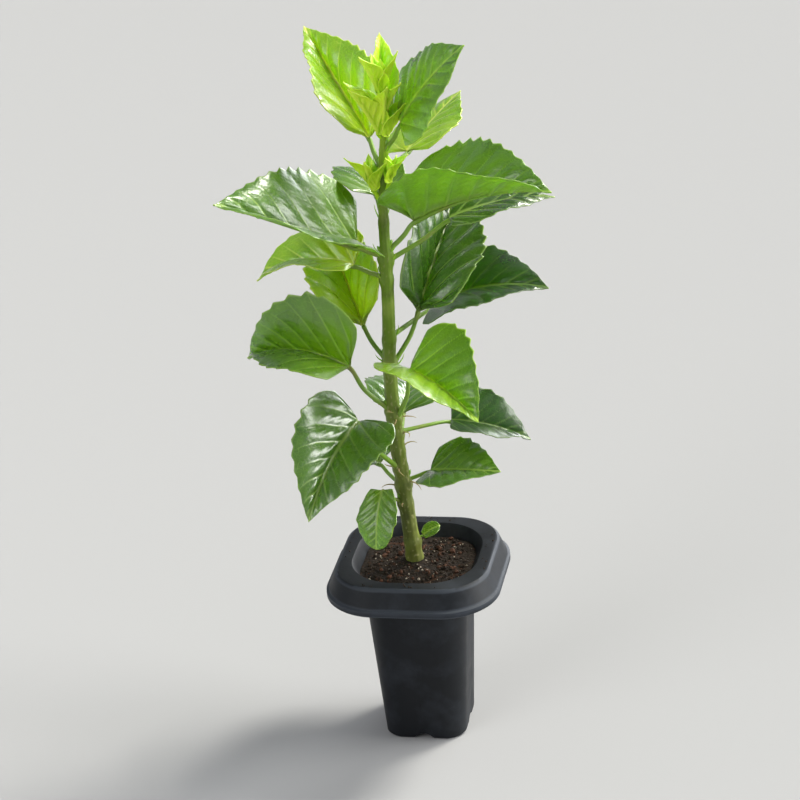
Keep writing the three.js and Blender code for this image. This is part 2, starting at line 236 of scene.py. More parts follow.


# Glossy leaf skin: paler veins and margin, painted shade in the dips along the veins, a net of small
# veins, a duller underside.
def leafMaterial(name, tone):
    look = {**leafSkin, **leafTones[tone]}
    material, tree, shader = newMaterial(name, {
        "Specular IOR Level": look["specular"], "Coat Weight": look["coat"],
        "Coat Roughness": look["coatRough"], "Subsurface Weight": look["glow"],
        "Subsurface Scale": look["depth"], "Subsurface Radius": look["glowReach"],
    })
    face, shade, pale, under = (look[key] for key in ("face", "shade", "vein", "under"))
    base = look.get("base", face)
    place = objectPlace(tree)
    vein, back = readValue(tree, "vein"), readValue(tree, "under")
    patch = noiseAt(tree, place, look["patchScale"])
    net = cellEdges(tree, place, look["netScale"])
    netLine = ramp(tree, net, 0.0, 0.09, 1.0, 0.0)
    # Painted shade: where the blade dips along its veins, between the cushions, the shade colour is
    # mixed in.
    hollowShade = ramp(tree, readValue(tree, "bulge"), 0.0, 1.0, look["hollowShadeShare"], 0.0)
    margin = readValue(tree, "margin")
    upper = layOver(tree, shade, face, patch, 0.3, 0.72)
    upper = layOver(tree, upper, base, readValue(tree, "foot"), 0.0, 1.0, look["baseShare"])
    upper = mixColours(tree, hollowShade, upper, shade)
    upper = layOver(tree, upper, pale, netLine, 0.0, 1.0, look["netShare"])
    upper = layOver(tree, upper, pale, vein, 0.2, 0.9, look["veinShare"])
    upper = layOver(tree, upper, pale, margin, 0.96, 1.0, look["marginShare"])
    lower = layOver(tree, under, [look["backShade"] * c for c in under], patch, 0.3, 0.75)
    lower = layOver(tree, lower, pale, netLine, 0.0, 1.0, look["backNet"])
    lower = layOver(tree, lower, pale, vein, 0.2, 1.0, look["backVein"])
    cells = ramp(tree, cellEdges(tree, place, look["cellScale"]), 0.0, 0.2, 0.0, look["cellHeight"])
    relief = calculate(tree, "ADD", cells, ramp(tree, net, 0.0, 0.16))
    dress(tree, shader, mixColours(tree, back, upper, lower), relief, look["bump"], look["bumpDepth"])
    gloss = ramp(tree, patch, 0.3, 0.75, look["rough"] - 0.04, look["rough"] + 0.08)
    dull = calculate(tree, "MULTIPLY_ADD", back, look["backDull"], gloss)
    tree.links.new(dull, shader.inputs["Roughness"])
    return material


leafMaterials = {tone: leafMaterial("leaf" + tone.capitalize(), tone)
                 for tone in leafTones if tone != "shoot"}
shootSkin = leafMaterial("shootSkin", "shoot")

softSkin = {"Subsurface Scale": 0.003, "Subsurface Radius": (0.6, 1.0, 0.15)}
stalkLooks = dict(colour=(0.17, 0.3, 0.025), tint=(0.3, 0.2, 0.08), fleck=(0.1, 0.2, 0.02), rough=0.38)
huskLooks = dict(colour=(0.36, 0.27, 0.13), tint=(0.13, 0.07, 0.03), fleck=(0.2, 0.15, 0.07), rough=0.7)


# Blotched and finely flecked skin of a stalk or a dry husk.
def stalkMaterial(name, looks):
    material, tree, shader = newMaterial(name, {
        "Roughness": looks["rough"], "Specular IOR Level": 0.5, "Subsurface Weight": 0.25, **softSkin})
    place = objectPlace(tree)
    colour = layOver(tree, looks["colour"], looks["tint"], noiseAt(tree, place, 70.0), 0.5, 0.72, 0.55)
    colour = layOver(tree, colour, looks["fleck"], noiseAt(tree, place, 900.0, 2.0), 0.3, 0.7, 0.25)
    dress(tree, shader, colour, noiseAt(tree, place, 1500.0, 2.0), 0.2, 0.0001)
    return material


stalkSkin = stalkMaterial("stalkSkin", stalkLooks)
huskSkin = stalkMaterial("huskSkin", huskLooks)

# The stem's line and girth, as the part has them.
stem = dict(
    foot=77, height=196, footRadius=3.8, lowRadius=3.2, midRadius=2.5, midShare=0.62, topRadius=1.2,
    flareHeight=4, nodeSwell=0.3, cushion=0.6, cushionHeight=2.4,
    path=[(0, 0, 0), (-2, -0.4, 30), (-3.8, -0.9, 75), (-2, -0.4, 118), (-1, -0.2, 154),
          (2.3, 0.5, 196)],
)


# A point of the smooth line through some points, with steps weighed by the square root of length.
def smoothLine(points, share):
    points = [Vector(p) for p in points]
    last = len(points) - 1
    at = min(int(share * last), last - 1)
    weight = share * last - at
    p1, p2 = points[at], points[at + 1]
    p0 = points[at - 1] if at > 0 else 2 * points[0] - points[1]
    p3 = points[at + 2] if at + 2 <= last else 2 * points[last] - points[last - 1]
    d0, d1, d2 = ((b - a).length ** 0.5 for a, b in ((p0, p1), (p1, p2), (p2, p3)))
    t1 = ((p1 - p0) / d0 - (p2 - p0) / (d0 + d1) + (p2 - p1) / d1) * d1
    t2 = ((p2 - p1) / d1 - (p3 - p1) / (d1 + d2) + (p3 - p2) / d2) * d1
    c2 = 3 * (p2 - p1) - 2 * t1 - t2
    c3 = 2 * (p1 - p2) + t1 + t2
    return p1 + t1 * weight + c2 * weight ** 2 + c3 * weight ** 3


stemSteps = 600
stemTable = np.array([smoothLine(stem["path"], i / stemSteps) for i in range(stemSteps + 1)])


# The middle of the stem at a height.
def stemMiddle(height):
    climb = np.clip(height - stem["foot"], 0, stem["height"])
    x = np.interp(climb, stemTable[:, 2], stemTable[:, 0]) + plantSpot[0]
    y = np.interp(climb, stemTable[:, 2], stemTable[:, 1]) + plantSpot[1]
    return np.stack([x, y, height + 0 * x], axis=-1)


def stemRadius(height):
    climb = height - stem["foot"]
    share = climb / stem["height"]
    flare = (stem["footRadius"] - stem["lowRadius"]) * np.exp(-climb / stem["flareHeight"])
    low = stem["lowRadius"] + (stem["midRadius"] - stem["lowRadius"]) * share / stem["midShare"]
    upper = (share - stem["midShare"]) / (1 - stem["midShare"])
    high = stem["midRadius"] + (stem["topRadius"] - stem["midRadius"]) * upper
    return np.where(share < stem["midShare"], low + flare, high)


def heading(degrees):
    return np.array([cos(radians(degrees)), sin(radians(degrees)), 0.0])


def climbing(side, rise):
    way = heading(side) * cos(radians(rise))
    way[2] = sin(radians(rise))
    return way


# z, side, stalk and rise place the blade's base; turn, tilt, bend, roll, fold, long and wide shape it.
leaves = {
    "leaf_top_left": dict(z=248, side=134, stalk=14, rise=53,
        turn=129, tilt=33, bend=0, roll=-12, fold=48, long=60, wide=40, tone="young"),
    "leaf_top_right": dict(z=256, side=350, stalk=14, rise=56,
        turn=342, tilt=58, bend=20, roll=44, fold=0, long=45, wide=38, tone="fresh"),
    "leaf_top_back": dict(z=244, side=79, stalk=26, rise=5,
        turn=64, tilt=24, bend=10, roll=-16, fold=0, long=40, wide=34, tone="young"),
    "leaf_upper_right": dict(z=214, side=22, stalk=17, rise=43,
        turn=342, tilt=31, bend=28, roll=0, fold=43, long=64, wide=57, tone="fresh"),
    "leaf_upper_left": dict(z=212, side=193, stalk=12, rise=25,
        turn=220, tilt=30, bend=2, roll=-20, fold=27, long=67, wide=57, puffy=0.6, tone="fresh"),
    "leaf_left_under": dict(z=203, side=184, stalk=14, rise=24,
        turn=174, tilt=14, bend=52, roll=-12, fold=26, long=44, wide=36, tone="young"),
    # Its young tone is partly painted light: it lifts this leaf as a sun patch would, where the lamps do
    # not reach.
    "leaf_mid_left": dict(z=167, side=156, stalk=18, rise=49,
        turn=118, tilt=32, bend=8, roll=-20, fold=54, long=58, wide=46, puffy=1.7, tone="young"),
    "leaf_left_broad": dict(z=146, side=213, stalk=28, rise=53,
        turn=162, tilt=21, bend=50, roll=-42, fold=53, long=50, wide=54, veiny=1.5, tone="fresh"),
    "leaf_front_left": dict(z=120, side=236, stalk=35, rise=54,
        turn=252, tilt=-6, bend=45, roll=-25, fold=30, long=51, wide=43, tone="shiny"),
    "leaf_front_right": dict(z=142, side=335, stalk=25, rise=67,
        turn=316, tilt=4, bend=26, roll=12, fold=39, long=46, wide=48, paintedLightHalf=-1, tone="lit"),
    "leaf_mid_right": dict(z=165, side=44, stalk=25, rise=51,
        turn=80, tilt=40, bend=30, roll=29, fold=56, long=65, wide=53, puffy=1.9, tone="deep"),
    "leaf_right_behind": dict(z=177, side=66, stalk=32, rise=2,
        turn=354, tilt=34, bend=44, roll=16, fold=16, long=51, wide=46, tone="dark"),
    "leaf_under_right": dict(z=210, side=22, stalk=30, rise=28,
        turn=19, tilt=20, bend=31, roll=7, fold=6, long=43, wide=26, tone="deep"),
    "leaf_low_right": dict(z=113, side=23, stalk=12, rise=13,
        turn=342, tilt=12, bend=6, roll=13, fold=14, long=33, wide=33, tone="grown"),
    "leaf_low_right_behind": dict(z=135, side=36, stalk=25, rise=-3,
        turn=9, tilt=-5, bend=27, roll=21, fold=30, long=34, wide=30, tone="dark"),
    "leaf_low_left_small": dict(z=104, side=226, stalk=14, rise=38,
        turn=262, tilt=-38, bend=45, roll=12, fold=3, long=25, wide=18, blunt=0.55, tone="fresh"),
    "leaf_foot_tiny": dict(z=86, side=20, stalk=5, rise=10,
        turn=20, tilt=40, bend=30, roll=25, fold=10, long=8, wide=7, blunt=0.5, tone="fresh"),
    "leaf_back_upper": dict(z=227, side=112, stalk=14, rise=26,
        turn=114, tilt=12, bend=42, roll=0, fold=20, long=44, wide=30, tone="fresh"),
    "leaf_back_low": dict(z=128, side=88, stalk=17, rise=35,
        turn=97, tilt=8, bend=40, roll=5, fold=20, long=46, wide=36, tone="grown"),
    "leaf_back_left_low": dict(z=111, side=150, stalk=14, rise=30,
        turn=155, tilt=5, bend=40, roll=0, fold=15, long=38, wide=30, tone="grown"),
}

blade = dict(
    baseRound=0.5, tipDraw=1.15, footHalf=0.9, tipHalf=0.16, curl=12, thick=0.34, fineness=0.51,
    lobeSweep=0.13, lobePower=4, crowdFoot=1.18,
    toothFrom=0.2, toothOut=0.078, toothLong=4.8, toothPeak=0.72, toothCurve=1.3, toothEdge=7,
    quilt=0.0115, quiltDrop=0.35, ladder=0.1, groove=0.08, rise=0.1, dent=0.16, ridge=0.42,
    ladderRidge=0.3, fullLong=50, leastFull=0.2, footLong=0.45, paintedLightLong=1.3,
    ripple=0.02, ripples=12.5, swell=0.015, swells=6.1,
)
veins = dict(
    fan=0.5, fanPower=0.84, gap=0.19, crowd=0.22, otherHalf=0.42, wobble=0.07, broad=0.54, thinner=0.6,
    first=1.2, faintest=0.65, ribTip=0.32, ribFoot=0.75, rungGap=3.4,
    rungBroad=0.2, edgeBroad=2.6, edgeFade=0.85, leastPuff=0.55, morePuff=0.8, puffPower=1.3,
)


# Half the blade's width along it: widest low down, round at the base, drawn out to a point.
def halfWidth(leaf, share):
    draw = leaf.get("blunt") or blade["tipDraw"]
    peak = blade["baseRound"] / (blade["baseRound"] + draw)
    swell = (share / peak) ** blade["baseRound"] * ((1 - share) / (1 - peak)) ** draw
    narrowest = blade["footHalf"] + (blade["tipHalf"] - blade["footHalf"]) * share
    return np.maximum(narrowest, leaf["wide"] / 2 * swell)


# The midrib's point and the ways along, across and up at each share of the blade.
def bladeFrame(leaf, share):
    share = np.asarray(share, float)
    start = radians(leaf["tilt"])
    droop = radians(leaf["bend"]) or 1e-4  # never nothing, because it divides
    slope = (start - droop * share)[..., None]
    head = heading(leaf["turn"])
    level = np.array([-head[1], head[0], 0.0])
    upright = np.array([0.0, 0.0, 1.0])
    flat = leaf["long"] * (sin(start) - np.sin(slope)) / droop
    climb = leaf["long"] * (np.cos(slope) - cos(start)) / droop
    spot = leaf["base"] + head * flat + upright * climb
    along = head * np.cos(slope) + upright * np.sin(slope)
    above = upright * np.cos(slope) - head * np.sin(slope)
    roll = radians(leaf["roll"])
    across = level * cos(roll) + above * sin(roll)
    up = above * cos(roll) - level * sin(roll)
    return spot, along, across, up


# Blade points for arrays of share (stalk to tip) and width (-1 right margin to 1 left margin).
def bladeSpots(leaf, share, width, lift, reachOut):
    spot, along, across, up = bladeFrame(leaf, share)
    reach = np.abs(width)
    half = halfWidth(leaf, share)
    opening = np.minimum(1, half / 4) * held(reach * half / 1.2)
    angle = np.radians(leaf["fold"] + blade["curl"] * (1 - reach)) * opening
    flat, steep, way = (part[..., None] for part in (np.cos(angle), np.sin(angle), np.sign(width)))
    out = across * way * flat + up * steep
    face = up * flat - across * way * steep
    lobe = leaf.get("lobe", blade["lobeSweep"]) * leaf["long"]
    sweep = lobe * (1 - share) ** blade["lobePower"] * np.minimum(1, share * 12) * reach
    spot = spot + out * (reach * half * reachOut)[..., None] - along * sweep[..., None]
    return spot + face * np.asarray(lift)[..., None], face


# A number from 0 to 1 that belongs to a whole number and a leaf.
def drawn(number, seed):
    value = np.sin(number * 12.9898 + seed * 78.233) * 43758.5453
    return value - np.floor(value)


# How fully a blade of this length shows its relief.
def fullness(leaf):
    return min(1, max(blade["leastFull"], leaf["long"] / blade["fullLong"]))


# How near each point is to a vein, and how far up the cushion between two veins it lies.
def veinPattern(leaf, share, width, seed):
    rule = veins
    long = leaf["long"]
    reach = np.abs(width)
    half = halfWidth(leaf, share)
    shift = np.where(width > 0, 0.0, rule["otherHalf"]) + 0.2 * sin(seed)
    wobble = rule["wobble"] * np.sin(reach * 4.6 + shift * 9 + seed) * reach
    away = share - rule["fan"] * reach ** rule["fanPower"] * np.sqrt(held(1 - share))
    place = away * (1 + rule["crowd"] * away) / rule["gap"] + shift + wobble
    order = np.floor(place)
    cell = place - order
    nearest = np.round(place)
    steepAlong = 1 / (rule["gap"] * long)
    steepAcross = rule["fan"] * rule["fanPower"] / (rule["gap"] * half)
    sideways = np.minimum(cell, 1 - cell) / np.sqrt(steepAlong ** 2 + steepAcross ** 2)
    thinner = 1 - rule["thinner"] * reach
    faint = rule["faintest"] + (1 - rule["faintest"]) * drawn(nearest, seed)
    strength = np.where(np.abs(nearest + 0.5) < 1, rule["first"], faint)
    broad = rule["broad"] * thinner * (0.4 + 0.6 * min(1.0, long / 50)) * leaf.get("veiny", 1)
    side = np.exp(-(sideways / broad) ** 2) * thinner * strength
    ribBroad = rule["ribTip"] + rule["ribFoot"] * (1 - share) * min(1.0, long / 45)
    rib = np.exp(-(reach * half / ribBroad) ** 2)
    trough = np.exp(-(reach * half / (2.6 * ribBroad)) ** 2)
    rung = reach * half / rule["rungGap"] + 0.31 * order + 0.25 * np.sin(place * 6.28)
    rung = rung - np.floor(rung)
    offRung = np.minimum(rung, 1 - rung) * rule["rungGap"] / rule["rungBroad"]
    ladder = np.exp(-offRung ** 2) * held(reach * 6 - 0.6)
    fade = 1 - held((reach - 0.5) / 0.5) ** 2 * rule["edgeFade"]
    edge = held(reach * half / rule["edgeBroad"]) * fade
    puff = rule["leastPuff"] + rule["morePuff"] * drawn(order + 40, seed)
    cushion = np.sin(pi * cell) ** rule["puffPower"] * edge * held(half / 6)
    small = 4 * rung * (1 - rung) * edge * cushion
    return dict(
        side=side, rib=rib, trough=trough, ladder=ladder, cushion=cushion, puff=puff, small=small)


# How far out a saw-toothed margin reaches: each tooth rises slowly and falls back fast.
def teeth(leaf, share, width):
    toothed = 1 - blade["toothFrom"]
    count = max(4, round(leaf["long"] * toothed / blade["toothLong"]))
    step = held((share - blade["toothFrom"]) / toothed) * count
    part = step - np.floor(step)
    peak = blade["toothPeak"]
    saw = np.where(part < peak, (part / peak) ** blade["toothCurve"], (1 - part) / (1 - peak))
    grown = held(step / 1.2) * held((1 - share) * 9)
    return 1 + blade["toothOut"] * (saw - 0.5) * grown * np.abs(width) ** blade["toothEdge"]


# The slight wave of a whole blade and the closer ripple of its margin, still at tip and foot.
def bladeWave(leaf, share, width, seed):
    reach = np.abs(width)
    side = np.where(width > 0, 0, 1.9)  # the two halves are out of step
    ripple = np.sin(share * blade["ripples"] + seed * 1.7 + side) * reach ** 3
    calm = held((1 - share) * 3) * held(share * 5)
    swell = np.sin(share * blade["swells"] + seed * 2.3 + side) * np.sin(reach * 2.6 + seed)
    swell = blade["swell"] * swell * held(reach * 4)
    return leaf["long"] * calm * (blade["ripple"] * ripple + swell)


# A blade: a fine grid shaped by the rule, quilted between its veins, and given thickness.
def makeBlade(name, leaf, seed, fineness=blade["fineness"]):
    piece = addPiece(name, bpy.ops.mesh.primitive_grid_add, size=2,
                     x_subdivisions=max(8, 2 * round(leaf["wide"] / fineness / 2)),
                     y_subdivisions=max(10, round(leaf["long"] / fineness)))
    spots = getSpots(piece)
    share = held(((spots[:, 1] + 1) / 2) ** blade["crowdFoot"])
    width = -spots[:, 0]
    reach = np.abs(width)
    vein = veinPattern(leaf, share, width, seed)
    full = fullness(leaf)
    puffy = blade["quilt"] * leaf["long"] * leaf.get("puffy", 1)
    quilt = puffy * vein["cushion"] * vein["puff"] + blade["ladder"] * full * vein["small"]
    groove = (blade["groove"] * vein["trough"] - blade["rise"] * vein["rib"]) * full
    dent = blade["dent"] * vein["side"] * full * (1 - vein["trough"])
    wave = bladeWave(leaf, share, width, seed)
    lift = quilt - groove - dent + wave - blade["quiltDrop"] * puffy + blade["thick"] / 2
    top, face = bladeSpots(leaf, share, width, lift, teeth(leaf, share, width))
    setSpots(piece, top)
    useModifier(piece, "SOLIDIFY", thickness=blade["thick"], offset=-1, use_rim=True)
    count = len(top)
    spots = getSpots(piece)
    ridge = blade["ridge"] * (vein["side"] * (1 - 0.5 * reach) + blade["ladderRidge"] * vein["ladder"])
    spots[count:2 * count] -= face * (ridge * full)[:, None]  # the underside's veins stand out
    setSpots(piece, spots * mm)
    foot = held(1 - share / blade["footLong"]) * (1 - 0.4 * reach)
    # Painted light: on the chosen half the pale base colour spreads nearly to the tip, standing in for a
    # half lit through by the sun; the other half keeps less of it.
    if "paintedLightHalf" in leaf:
        paler = held(blade["paintedLightLong"] - share) * held(0.3 + 1.5 * reach)
        foot = np.where(width * leaf["paintedLightHalf"] > 0, paler, 0.4 * foot)
    nearVein = held(np.maximum(np.maximum(vein["side"], vein["rib"]), 0.4 * vein["ladder"]))
    setValues(piece, "vein", np.tile(nearVein, 2))
    setValues(piece, "bulge", np.tile(vein["cushion"], 2))
    setValues(piece, "margin", np.tile(np.maximum(reach, share), 2))
    setValues(piece, "foot", np.tile(foot, 2))
    setValues(piece, "under", np.repeat([0.0, 1.0], count))
    faceOutwards(piece)
    bpy.ops.object.shade_smooth()
    return piece


# A round stalk along a line of points, with a radius at each.
def makeStalk(name, points, radii, sides=3):
    piece = addPiece(name, bpy.ops.curve.primitive_bezier_curve_add)
    curve = piece.data
    curve.splines.clear()
    spline = curve.splines.new("POLY")
    spline.points.add(len(points) - 1)
    for point, spot, radius in zip(spline.points, points, radii):
        point.co = (*[c * mm for c in spot], 1)
        point.radius = radius
    curve.dimensions = "3D"
    curve.bevel_depth = mm
    curve.bevel_resolution = sides
    curve.use_fill_caps = True
    pick(piece)
    bpy.ops.object.convert(target="MESH")
    bpy.ops.object.shade_smooth()
    return bpy.context.object


stalkRule = dict(
    radius=1.0, sink=0.92, startIn=0.6, kneeOut=0.08, leastThin=0.45, thinLong=90, taper=0.2,
    footSwell=0.3, endSwell=0.2, diveFrom=0.55, steps=24, ribSteps=22, ribLong=0.95, ribTip=0.1,
)


# The stalk curves out to the blade's base and runs on under the blade as its midrib.
def makeLeafStalk(name, leaf):
    rule = stalkRule
    out = heading(leaf["side"])
    start = stemMiddle(leaf["z"]) + out * float(stemRadius(leaf["z"])) * rule["startIn"]
    knee = (start + leaf["base"]) / 2 + out * leaf["stalk"] * rule["kneeOut"]
    line = [start, knee, leaf["base"], bladeFrame(leaf, 0.1)[0]]
    thin = rule["radius"] * min(1, rule["leastThin"] + leaf["long"] / rule["thinLong"])
    sag = blade["quiltDrop"] * blade["quilt"] * leaf["long"] * leaf.get("puffy", 1)
    depth = (blade["groove"] - blade["rise"]) * fullness(leaf) + sag + blade["thick"] / 2
    up = Vector(bladeFrame(leaf, 0.0)[3])
    points, radii = [], []
    for step in range(rule["steps"] + 1):
        part = step / rule["steps"]
        swell = rule["footSwell"] * exp(-(part / 0.08) ** 2)
        swell += rule["endSwell"] * exp(-((part - 0.97) / 0.07) ** 2)
        radius = thin * (1.06 - rule["taper"] * part + swell)
        dive = max(0, (part - rule["diveFrom"]) / (1 - rule["diveFrom"])) ** 2
        toBase = part * 0.667  # the line's last third lies in the blade
        points.append(smoothLine(line, toBase) - up * ((depth + rule["sink"] * radius) * dive))
        radii.append(radius)
    last = radii[-1]
    for step in range(1, rule["ribSteps"]):
        share = step / rule["ribSteps"] * rule["ribLong"]
        spot, *_, up = bladeFrame(leaf, share)
        radius = max(rule["ribTip"], last * (1 - share) ** 1.5)
        points.append(Vector(spot - up * (depth + rule["sink"] * radius)))
        radii.append(radius)
    return makeStalk(name, points, radii)


def makeLeaf(name, sizes, seed):
    leaf = dict(sizes)
    leaf["base"] = stemMiddle(sizes["z"]) + climbing(sizes["side"], sizes["rise"]) * sizes["stalk"]
    face = makeBlade(titled(name), leaf, seed)
    face.data.materials.append(leafMaterials[leaf["tone"]])
    stalk = makeLeafStalk(titled(name) + "Stalk", leaf)
    stalk.data.materials.append(stalkSkin)
    piece = joinPieces(titled(name), [face, stalk])
    young = leaf["z"] > 200 and name != "leaf_under_right"
    finishPiece(piece, "leaf_young" if young else "leaf_grown", name)


for number, (name, sizes) in enumerate(leaves.items()):
    makeLeaf(name, sizes, number * 2.39 + 0.7)
print("leaves made:", len(leaves))

# Each new leaf of a shoot stands a fixed turn round from the last, smaller and steeper.
# The collar's leaves stand lower on the stem: turn, how far down, long and tilt of each.
shoots = {
    "shoot_tip": dict(z=273, side=100, rise=90, twig=9, leaves=5, first=25, onTip=True, collar=[
        (228, 13, 25, 66), (296, 8, 20, 68), (178, 7, 20, 56), (8, 14, 22, 56), (322, 4, 18, 60)]),
    "shoot_left": dict(z=236, side=195, rise=66, twig=8, leaves=4, first=18),
    "shoot_right": dict(z=240, side=345, rise=60, twig=6, leaves=3, first=15),
}
shootRule = dict(
    turn=137.5, tilt=65, steeper=3.5, smaller=0.81, slim=0.6, fold=46, foldMore=3, bend=18,
    straighter=7, roll=18, rollLess=9, lobe=0.08, radius=1.1, taper=0.55, neck=3.2,
    fineness=0.32, more=2,
)


def makeShoot(name, sizes):
    rule = shootRule
    onTip = sizes.get("onTip", False)
    reach = 0 if onTip else float(stemRadius(sizes["z"])) * 0.8
    start = stemMiddle(sizes["z"]) + heading(sizes["side"]) * reach
    way = climbing(sizes["side"], sizes["rise"])
    count = 8
    twig = [start + way * sizes["twig"] * i / count for i in range(-1 if onTip else 0, count + 1)]
    radii = [rule["radius"] * (1 - rule["taper"] * i / count) for i in range(len(twig))]
    parts = [makeStalk(titled(name), twig, radii)]
    ranks = []
    for i in range(sizes["leaves"] + rule["more"]):
        foot = start + way * sizes["twig"] * min(1, (i + 1) / (sizes["leaves"] + 0.5))
        ranks.append((i, sizes["side"] + rule["turn"] * i, foot, sizes["first"] * rule["smaller"] ** i,
                      rule["tilt"] + rule["steeper"] * i))
    for turn, down, long, tilt in sizes.get("collar", []):
        ranks.append((1, turn, stemMiddle(sizes["z"] - down), long, tilt))
    for number, (i, turn, foot, long, tilt) in enumerate(ranks):
        out = climbing(turn, 48) * rule["neck"] * long / 25
        leaf = dict(
            base=foot + out, turn=turn, tilt=tilt, bend=rule["bend"] - rule["straighter"] * i,
            roll=rule["roll"] - rule["rollLess"] * i, fold=rule["fold"] + rule["foldMore"] * i,
            lobe=rule["lobe"], long=long, wide=long * rule["slim"])
        seed = number * 1.3 + sizes["z"]
        parts.append(makeBlade(f"{titled(name)}{number}", leaf, seed, rule["fineness"]))
        neck = [foot, foot + out * 0.6, foot + out * 1.2 + way * 0.3]
        parts.append(makeStalk(f"{titled(name)}Neck{number}", neck, [0.5 * long / 20 + 0.1] * 3))
    for part in parts:
        part.data.materials.append(shootSkin)
    finishPiece(joinPieces(titled(name), parts), "shoot_young", name)


for name, sizes in shoots.items():
    makeShoot(name, sizes)
print("shoots made")

nodeBits = dict(
    lowest=95, stipule=5.2, stipuleRadius=0.3, spread=38, longs=(0.75, 1.2), leans=(25, 60),
    curls=(-30, 50), steeper=40, bud=2.6, budRadius=0.85, budLift=2.2, budRise=62,
    dryBelow=150, dryLonger=1.15, dryLean=30, dryCurl=60, dryDroop=80,
)


# A pair of thin curved stipules beside each stalk's foot, and a small pointed bud above it.
def makeNodeBits():
    rule = nodeBits
    fresh, dry = [], []
    draw = np.random.RandomState(5)
    for leaf in leaves.values():
        if leaf["z"] < rule["lowest"]:
            continue
        middle = stemMiddle(leaf["z"])
        radius = float(stemRadius(leaf["z"]))
        kind = dry if leaf["z"] < rule["dryBelow"] else fresh
        for hand in (-1, 1):
            side = leaf["side"] + hand * (rule["spread"] + draw.uniform(-6, 6))
            long = rule["stipule"] * draw.uniform(*rule["longs"])
            lean = draw.uniform(*rule["leans"])
            curl = draw.uniform(*rule["curls"])
            steeper = rule["steeper"]
            if kind is dry:
                long *= rule["dryLonger"]
                lean -= rule["dryLean"]
                curl += rule["dryCurl"]
                steeper = -rule["dryDroop"] * draw.uniform(0.2, 1.3)
            spot = middle + heading(side) * (radius + 0.1)
            points, radii = [], []
            for part in np.linspace(0, 1, 9):
                points.append(spot.copy())
                radii.append(rule["stipuleRadius"] * (1 - part) ** 0.7 + 0.05)
                spot = spot + climbing(side + hand * curl * part, lean + steeper * part) * long / 8
            kind.append(makeStalk("stipule", points, radii, sides=2))
        start = middle + heading(leaf["side"]) * radius * 0.8 + [0, 0, rule["budLift"]]
        way = climbing(leaf["side"], rule["budRise"])
        points = [start + way * rule["bud"] * part for part in np.linspace(-0.2, 1, 9)]
        radii = [rule["budRadius"] * max(0.05, sin(pi * (0.18 + 0.82 * part)) ** 0.8)
                 for part in np.linspace(0.1, 1, 9)]
        fresh.append(makeStalk("restingBud", points, radii))
    for name, parts, skin in (("greenStipules", fresh, leafMaterials["young"]),
                              ("dryStipules", dry, huskSkin)):
        piece = joinPieces(name, parts)
        piece.data.materials.clear()
        piece.data.materials.append(skin)
        finishPiece(piece, "green_stem")


makeNodeBits()
print("stipules and buds made")

stemLooks = dict(
    low=(0.125, 0.145, 0.025), high=(0.12, 0.21, 0.012), tip=(0.33, 0.52, 0.012),
    speck=(0.27, 0.28, 0.1), stain=(0.06, 0.07, 0.015), pale=(0.26, 0.34, 0.06),
    shoulder=1.3, shoulderIn=0.2, sides=64, rows=420, ribs=9, ribOut=0.07, ribTwist=0.05,
    grainOut=0.1, speckOut=0.11, scar=0.16,
)


